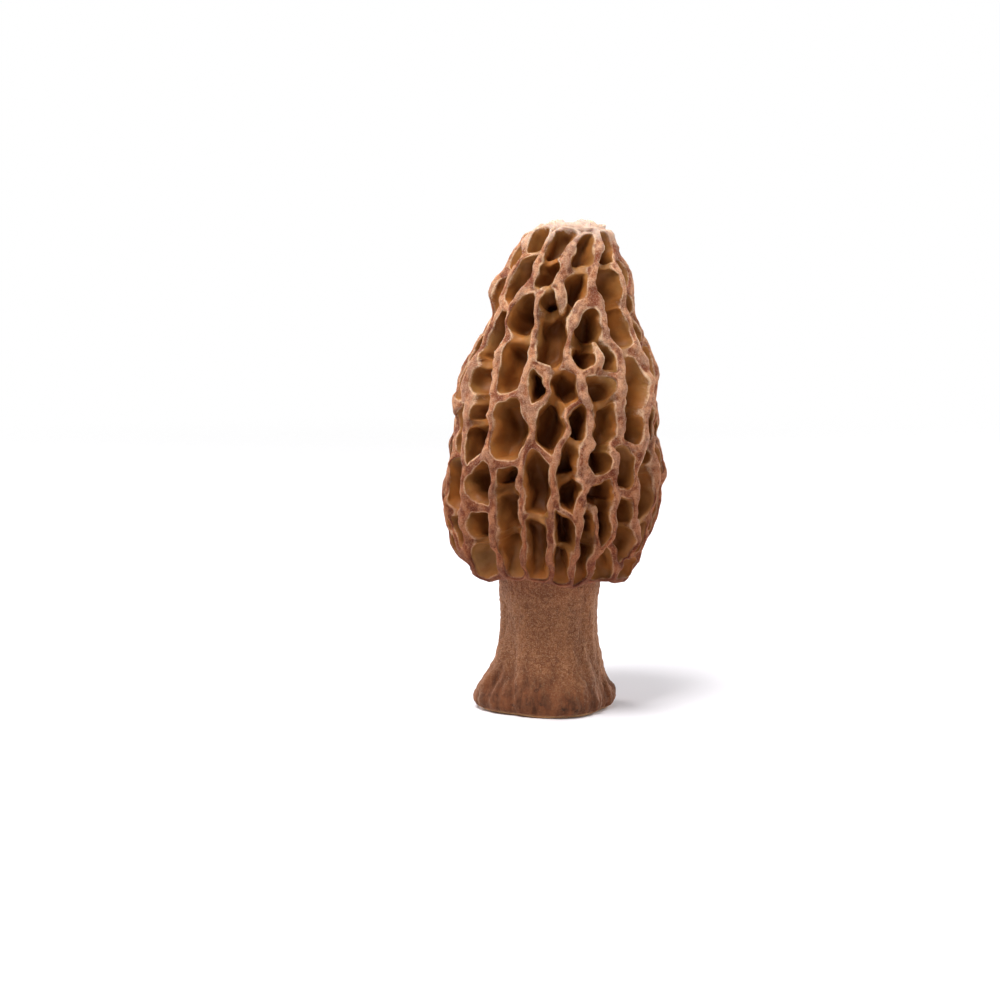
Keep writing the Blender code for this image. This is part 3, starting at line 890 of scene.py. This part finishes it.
# %% Painted shade and tip frost on the cap
# Painted shade towards the foot of the cap and at its rim.
LOW_SHADE = rgb(182, 142, 118)
RIM_HEIGHTS, RIM_PATCH, RIM_SHADE = (35 * MM, 26 * MM), 2.5 * MM, rgb(84, 48, 38)
# Pale at the tip: partly frost, partly painted light from above.
TIP_HEIGHTS, TIP_FROST_AND_LIGHT = (92 * MM, 98 * MM), rgb(230, 206, 188)
TIP_PATCH, TIP_WANDER = 2 * MM, 9 * MM


def shade_and_tip_frost(tree, where, flesh, low, crest):
    """Darker towards the foot of the cap and browner at its rim, both painted shade, and paler at
    its tip, partly frost and partly painted light.
    """
    height = height_of(tree, where)
    # Painted shade: the lower cap is darkened, the crests more than the pits.
    low_shade = times(tree, low, plus(tree, times(tree, crest, 0.5), 0.35))
    # Painted shade at the rim, in uneven patches.
    rim = times(tree, grade(tree, height, *RIM_HEIGHTS), noise(tree, where, RIM_PATCH, 3.0))
    uneven = plus(tree, noise(tree, where, TIP_PATCH, 5.0, 0.65), -0.5)
    wander = times(tree, uneven, TIP_WANDER)
    # The tip is painted paler, partly frost and partly painted light from above.
    tip = times(tree, grade(tree, plus(tree, height, wander), *TIP_HEIGHTS), crest)
    flesh = blend(tree, low_shade, flesh, LOW_SHADE, "MULTIPLY")
    return paint(tree, flesh, (rim, crest, RIM_SHADE), (tip, 0.75, TIP_FROST_AND_LIGHT))


# %% Material: cap flesh
LOW_HEIGHTS = (78 * MM, 30 * MM)
CAP_MEAL = 3100.0
CAP_SPECKLE, CAP_RIPPLE = 0.22 * MM, 1.1 * MM
MOIST, DRY = 0.48, 0.82


def make_cap_flesh():
    """Moist amber pits under dry tan crests."""
    made, tree, shader, where = new_material("cap_flesh")
    # low rises towards the foot of the cap, where it paints shade.
    low = grade(tree, height_of(tree, where), *LOW_HEIGHTS)
    meal = use_group(tree, MEAL, Where=where, Grains_per_metre=CAP_MEAL)
    speckle = noise(tree, where, CAP_SPECKLE, 3.0, 0.7)
    crest = crest_share(tree, where, speckle)
    pit, tan = pit_colour_and_shade(tree, where, low), crest_colour(tree, where, speckle, meal)
    flesh = shade_and_tip_frost(tree, where, blend(tree, crest, pit, tan), low, crest)
    feed(tree, shader.inputs["Base Color"], flesh)
    feed(tree, shader.inputs["Roughness"], grade(tree, crest, 0.0, 1.0, MOIST, DRY))
    shader.inputs["Specular IOR Level"].default_value = 0.12
    let_light_in(shader, share=0.25)
    ripple = times(tree, noise(tree, where, CAP_RIPPLE, 3.0, 0.55), 0.5)
    velvet = mixed(tree, meal.outputs["Height"], 0.5, speckle, 1.1)
    grains = times(tree, velvet, plus(tree, times(tree, crest, 0.95), 0.05))
    roughen(tree, shader, plus(tree, ripple, grains), strength=0.8, distance=0.2 * MM)
    return made


cap_flesh = make_cap_flesh()
print(cap_flesh.name, "has", len(cap_flesh.node_tree.nodes), "nodes")

# %% [markdown]
# ## The skin of the stem
#
# The stem is dry, brown and covered with meal that catches the light along its edges. Its mottles
# and flecks are drawn out along the threads, so their coordinates are squeezed along Z. The foot is
# darker and streaked, in a border that wanders up and down. The fresh cut below is pale and moist.
# One material holds all three, because they run into each other on one skin.

# %% Shaft of the stem
STEM_DARK, STEM_BROWN, STEM_TAN = rgb(96, 53, 31), rgb(124, 76, 47), rgb(160, 106, 70)
FOLD_HIGHLIGHT, FOLD_SHADE = rgb(178, 126, 88), rgb(98, 56, 36)
MEAL_PALE, FLECK_DARK = rgb(202, 156, 118), rgb(88, 48, 30)
SKIN_DARK, SKIN_PALE = rgb(104, 60, 40), rgb(208, 166, 130)
CAP_SHADOW = rgb(204, 160, 148)
SHADE_FOOT = 21 * MM
STEM_SPECKLE = 0.2 * MM


def shaft_colour(tree, where, drawn_out, broad, fine, grains):
    """Brown and mealy, with a painted highlight on the folds, painted shade between them and a
    ruddy painted shadow under the cap.
    """
    speckle = noise(tree, where, STEM_SPECKLE, 3.0, 0.7)
    flesh = paint(
        tree,
        blend(tree, grade(tree, broad, 0.36, 0.64), STEM_DARK, STEM_BROWN),
        (grade(tree, fine, 0.3, 0.75), 0.4, STEM_TAN),
        # Painted highlight on the folds and painted shade between them.
        (grade(tree, measure(tree, "bulge"), 0.0, 0.9), 0.3, FOLD_HIGHLIGHT),
        (grade(tree, measure(tree, "bulge"), 0.0, -0.8), 0.22, FOLD_SHADE),
        (grains, 0.55, MEAL_PALE),
        (flecks(tree, drawn_out, per_metre=1000.0, spread=0.62), 0.6, FLECK_DARK),
        (grade(tree, speckle, 0.5, 0.36), 0.4, SKIN_DARK),
        (grade(tree, speckle, 0.5, 0.66), 0.35, SKIN_PALE),
    )
    # Painted shadow of the cap over the top of the stem.
    shade = grade(tree, height_of(tree, where), SHADE_FOOT, stem_high.z)
    return blend(tree, times(tree, shade, 0.5), flesh, CAP_SHADOW, "MULTIPLY")


# %% Foot and cut of the stem
FOOT_DARK, FOOT_BROWN, FOOT_STAIN = rgb(66, 34, 18), rgb(112, 63, 36), rgb(40, 19, 9)
FOOT_STREAK = 1.2 * MM
CUT_BROWN, CUT_CREAM, CUT_GRAIN = rgb(164, 112, 72), rgb(204, 160, 114), rgb(228, 200, 164)


def foot_colour(tree, where, drawn_out):
    """Dark brown, streaked along the threads and stained."""
    streaks = grade(tree, noise(tree, drawn_out, FOOT_STREAK, 4.0, 0.65), 0.32, 0.68)
    brown = blend(tree, streaks, FOOT_DARK, FOOT_BROWN)
    stains = flecks(tree, where, per_metre=420.0, spread=0.6)
    return blend(tree, stains, brown, FOOT_STAIN)


def cut_colour(tree, broad, fine, grains):
    """Creamy flesh with damp patches and pale grains."""
    damp = grade(tree, mixed(tree, broad, 0.6, fine, 0.4), 0.36, 0.64)
    return paint(tree, blend(tree, damp, CUT_BROWN, CUT_CREAM), (grains, 0.4, CUT_GRAIN))


# %% Material: stem flesh
STEM_MEAL = 2600.0
THREADS = (1, 1, 0.28)
STEM_PATCH, STEM_FINE = 4 * MM, 0.55 * MM
FOOT_HEIGHTS, FOOT_WANDER = (13 * MM, 2 * MM), 16 * MM
CUT_HEIGHTS = (0.9 * MM, 0.1 * MM)
SHEEN_WARM = rgb(255, 208, 170)


def make_stem_flesh():
    """A mealy shaft, a browned foot and a fresh cut, one below the other."""
    made, tree, shader, where = new_material("stem_flesh")
    height = height_of(tree, where)
    meal = use_group(tree, MEAL, Where=where, Grains_per_metre=STEM_MEAL)
    grains = meal.outputs["Grains"]
    along = place(tree, "ShaderNodeMapping")
    feed(tree, along.inputs["Vector"], where)
    along.inputs["Scale"].default_value = THREADS
    drawn_out = along.outputs["Vector"]
    broad = noise(tree, drawn_out, STEM_PATCH, 4.0, 0.62)
    fine = noise(tree, where, STEM_FINE, 3.0, 0.62)
    wander = times(tree, plus(tree, broad, -0.5), FOOT_WANDER)
    foot = grade(tree, plus(tree, height, wander), *FOOT_HEIGHTS)
    flesh = paint(
        tree,
        shaft_colour(tree, where, drawn_out, broad, fine, grains),
        (foot, 0.9, foot_colour(tree, where, drawn_out)),
        (grade(tree, height, *CUT_HEIGHTS), 0.9, cut_colour(tree, broad, fine, grains)),
    )
    feed(tree, shader.inputs["Base Color"], flesh)
    shader.inputs["Roughness"].default_value = 0.85
    shader.inputs["Specular IOR Level"].default_value = 0.2
    shader.inputs["Sheen Weight"].default_value = 0.3
    shader.inputs["Sheen Tint"].default_value = SHEEN_WARM
    shader.inputs["Sheen Roughness"].default_value = 0.4
    let_light_in(shader, share=0.15)
    grain = plus(tree, meal.outputs["Height"], times(tree, fine, 0.6))
    roughen(tree, shader, grain, strength=0.9, distance=0.18 * MM)
    return made


stem_flesh = make_stem_flesh()
print(stem_flesh.name, "has", len(stem_flesh.node_tree.nodes), "nodes")

# %% [markdown]
# ## The lining of the hollow
#
# The hollow is cream, dull and dusted with coarse meal. It shows only from below, through the cut
# ring, and one material serves both pieces, because the real wall runs through from one to the
# other.

# %% Material: lining
CREAM_DARK, CREAM_PALE, CREAM_GRAIN = rgb(206, 178, 136), rgb(232, 216, 186), rgb(246, 238, 222)
LINING_MEAL, LINING_PATCH = 1700.0, 5 * MM


def make_lining():
    """Cream with soft patches and coarse pale grains."""
    made, tree, shader, where = new_material("hollow_lining")
    meal = use_group(tree, MEAL, Where=where, Grains_per_metre=LINING_MEAL)
    cream = blend(tree, noise(tree, where, LINING_PATCH, 3.0, 0.6), CREAM_DARK, CREAM_PALE)
    cream = paint(tree, cream, (meal.outputs["Grains"], 0.6, CREAM_GRAIN))
    feed(tree, shader.inputs["Base Color"], cream)
    shader.inputs["Roughness"].default_value = 0.7
    roughen(tree, shader, meal.outputs["Height"], strength=0.8, distance=0.25 * MM)
    return made


hollow_lining = make_lining()
print(hollow_lining.name, "has", len(hollow_lining.node_tree.nodes), "nodes")

# %% Put the materials on
for piece, skin in ((cap, cap_flesh), (stem, stem_flesh)):
    piece.data.materials[OUTER_SKIN] = skin
    piece.data.materials[LINING] = hollow_lining
    print(piece.name, "wears", [worn.name for worn in piece.data.materials])

# %% [markdown]
# ## Solids and body
#
# The solids of the imported model stay in the file, for weight and collision, and are hidden. Each
# finished piece hangs on the body that carries it. Nothing on a morel moves, so both ride on the
# one body.

# %% Hide the solids and hang each piece on its body
for piece, node, finish in ((cap, "cap", "cap_flesh"), (stem, "stem", "stem_flesh")):
    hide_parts(node)
    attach(piece, "root")
    print(piece.name, "stands for", node)

# %% [markdown]
# ## A pale table
#
# The morel stands on a plain white sheet. Near the morel the sheet is solid and takes its shadow.
# Further out it turns clear bit by bit, so that it meets the white behind without a line.

# %% Floor
FLOOR_HALF = 1.6
SHEET_WHITE = rgb(238, 236, 240)
SHEET_SOLID, SHEET_CLEAR = 0.12, 0.55

bpy.ops.object.select_all(action="DESELECT")
bpy.ops.mesh.primitive_plane_add(size=2 * FLOOR_HALF, location=(0, 0, 0))
floor = bpy.context.object
floor.name = "floor"
floor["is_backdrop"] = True
sheet = bpy.data.materials.new("floor")
sheet.use_nodes = True
tree = sheet.node_tree
shader = tree.nodes["Principled BSDF"]
shader.inputs["Base Color"].default_value = SHEET_WHITE
shader.inputs["Roughness"].default_value = 0.6
far = place(tree, "ShaderNodeVectorMath", operation="LENGTH")
feed(tree, far.inputs[0], place(tree, "ShaderNodeTexCoord").outputs["Object"])
both = place(tree, "ShaderNodeMixShader")
feed(tree, both.inputs["Fac"], grade(tree, far.outputs["Value"], SHEET_SOLID, SHEET_CLEAR))
feed(tree, both.inputs[1], shader.outputs[0])
feed(tree, both.inputs[2], place(tree, "ShaderNodeBsdfTransparent").outputs[0])
feed(tree, tree.nodes["Material Output"].inputs["Surface"], both.outputs[0])
floor.data.materials.append(sheet)
print("the floor is", 2 * FLOOR_HALF, "m wide")

# %% [markdown]
# ## Camera
#
# The photo was taken a little from above, from some way off: the far rim of the cap does not show
# below the near one. A long lens at half a metre and a rise of eight degrees give the same view.

# %% Camera
LENS = 100
VIEW_RISE = math.radians(8)
VIEW_DISTANCE = 0.5556
VIEW_TARGET = Vector((-0.0107, 0, 0.042))

camera_data = bpy.data.cameras.new("camera")
camera_data.lens = LENS
camera = bpy.data.objects.new("camera", camera_data)
bpy.context.scene.collection.objects.link(camera)
back = Vector((0, -math.cos(VIEW_RISE), math.sin(VIEW_RISE)))
camera.location = VIEW_TARGET + back * VIEW_DISTANCE
camera.rotation_mode = "QUATERNION"
camera.rotation_quaternion = (-back).to_track_quat("-Z", "Y")
bpy.context.scene.camera = camera
print("the camera stands", round(camera.location.z / MM), "mm above the table")

# %% [markdown]
# ## Light
#
# A soft key from above and in front picks out the crests and leaves the pits dark. Two lights
# behind shine through the thin ribs at the sides, which gives them their amber edge. The world
# gives a dim, even glow, and the camera sees it as plain white.

# %% Lights
LIGHT_TARGET = Vector((0, 0, 0.05))
# Name, place and width in metres, power in watts
SOFTBOXES = (
    ("key", (-0.14, -0.20, 0.58), 0.26, 4.8),
    ("fill", (0.40, -0.45, 0.12), 0.40, 0.7),
    ("back_right", (0.35, 0.35, 0.20), 0.30, 2.4),
    ("back_left", (-0.40, 0.30, 0.20), 0.30, 2.2),
)

for name, spot, size, power in SOFTBOXES:
    light = bpy.data.lights.new(name, "AREA")
    light.size = size
    light.energy = power
    lamp = bpy.data.objects.new(name, light)
    bpy.context.scene.collection.objects.link(lamp)
    lamp.location = spot
    lamp.rotation_mode = "QUATERNION"
    lamp.rotation_quaternion = (LIGHT_TARGET - Vector(spot)).to_track_quat("-Z", "Y")
print("softboxes:", [name for name, *rest in SOFTBOXES])

# %% White behind
WHITE = (1, 1, 1, 1)
GLOW = 0.2

world = bpy.data.worlds.new("studio")
bpy.context.scene.world = world
world.use_nodes = True
tree = world.node_tree
glow = tree.nodes["Background"]
glow.inputs["Color"].default_value = WHITE
glow.inputs["Strength"].default_value = GLOW
white = place(tree, "ShaderNodeBackground")
white.inputs["Color"].default_value = WHITE
both = place(tree, "ShaderNodeMixShader")
feed(tree, both.inputs["Fac"], place(tree, "ShaderNodeLightPath").outputs["Is Camera Ray"])
feed(tree, both.inputs[1], glow.outputs[0])
feed(tree, both.inputs[2], white.outputs[0])
feed(tree, tree.nodes["World Output"].inputs["Surface"], both.outputs[0])
bpy.context.scene.view_settings.view_transform = "Standard"
print("the world glows at", GLOW)

# %% [markdown]
# ## The size
#
# The two boxes show how far the flesh stands proud of the imported model. The flesh may stand
# proud of the imported model by a trace and no more.

# %% Sizes
new_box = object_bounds()
for name, box in (("CAD", cad_box), ("visual", new_box)):
    print(name, "box", [round(v / MM, 2) for corner in box for v in corner], "mm")
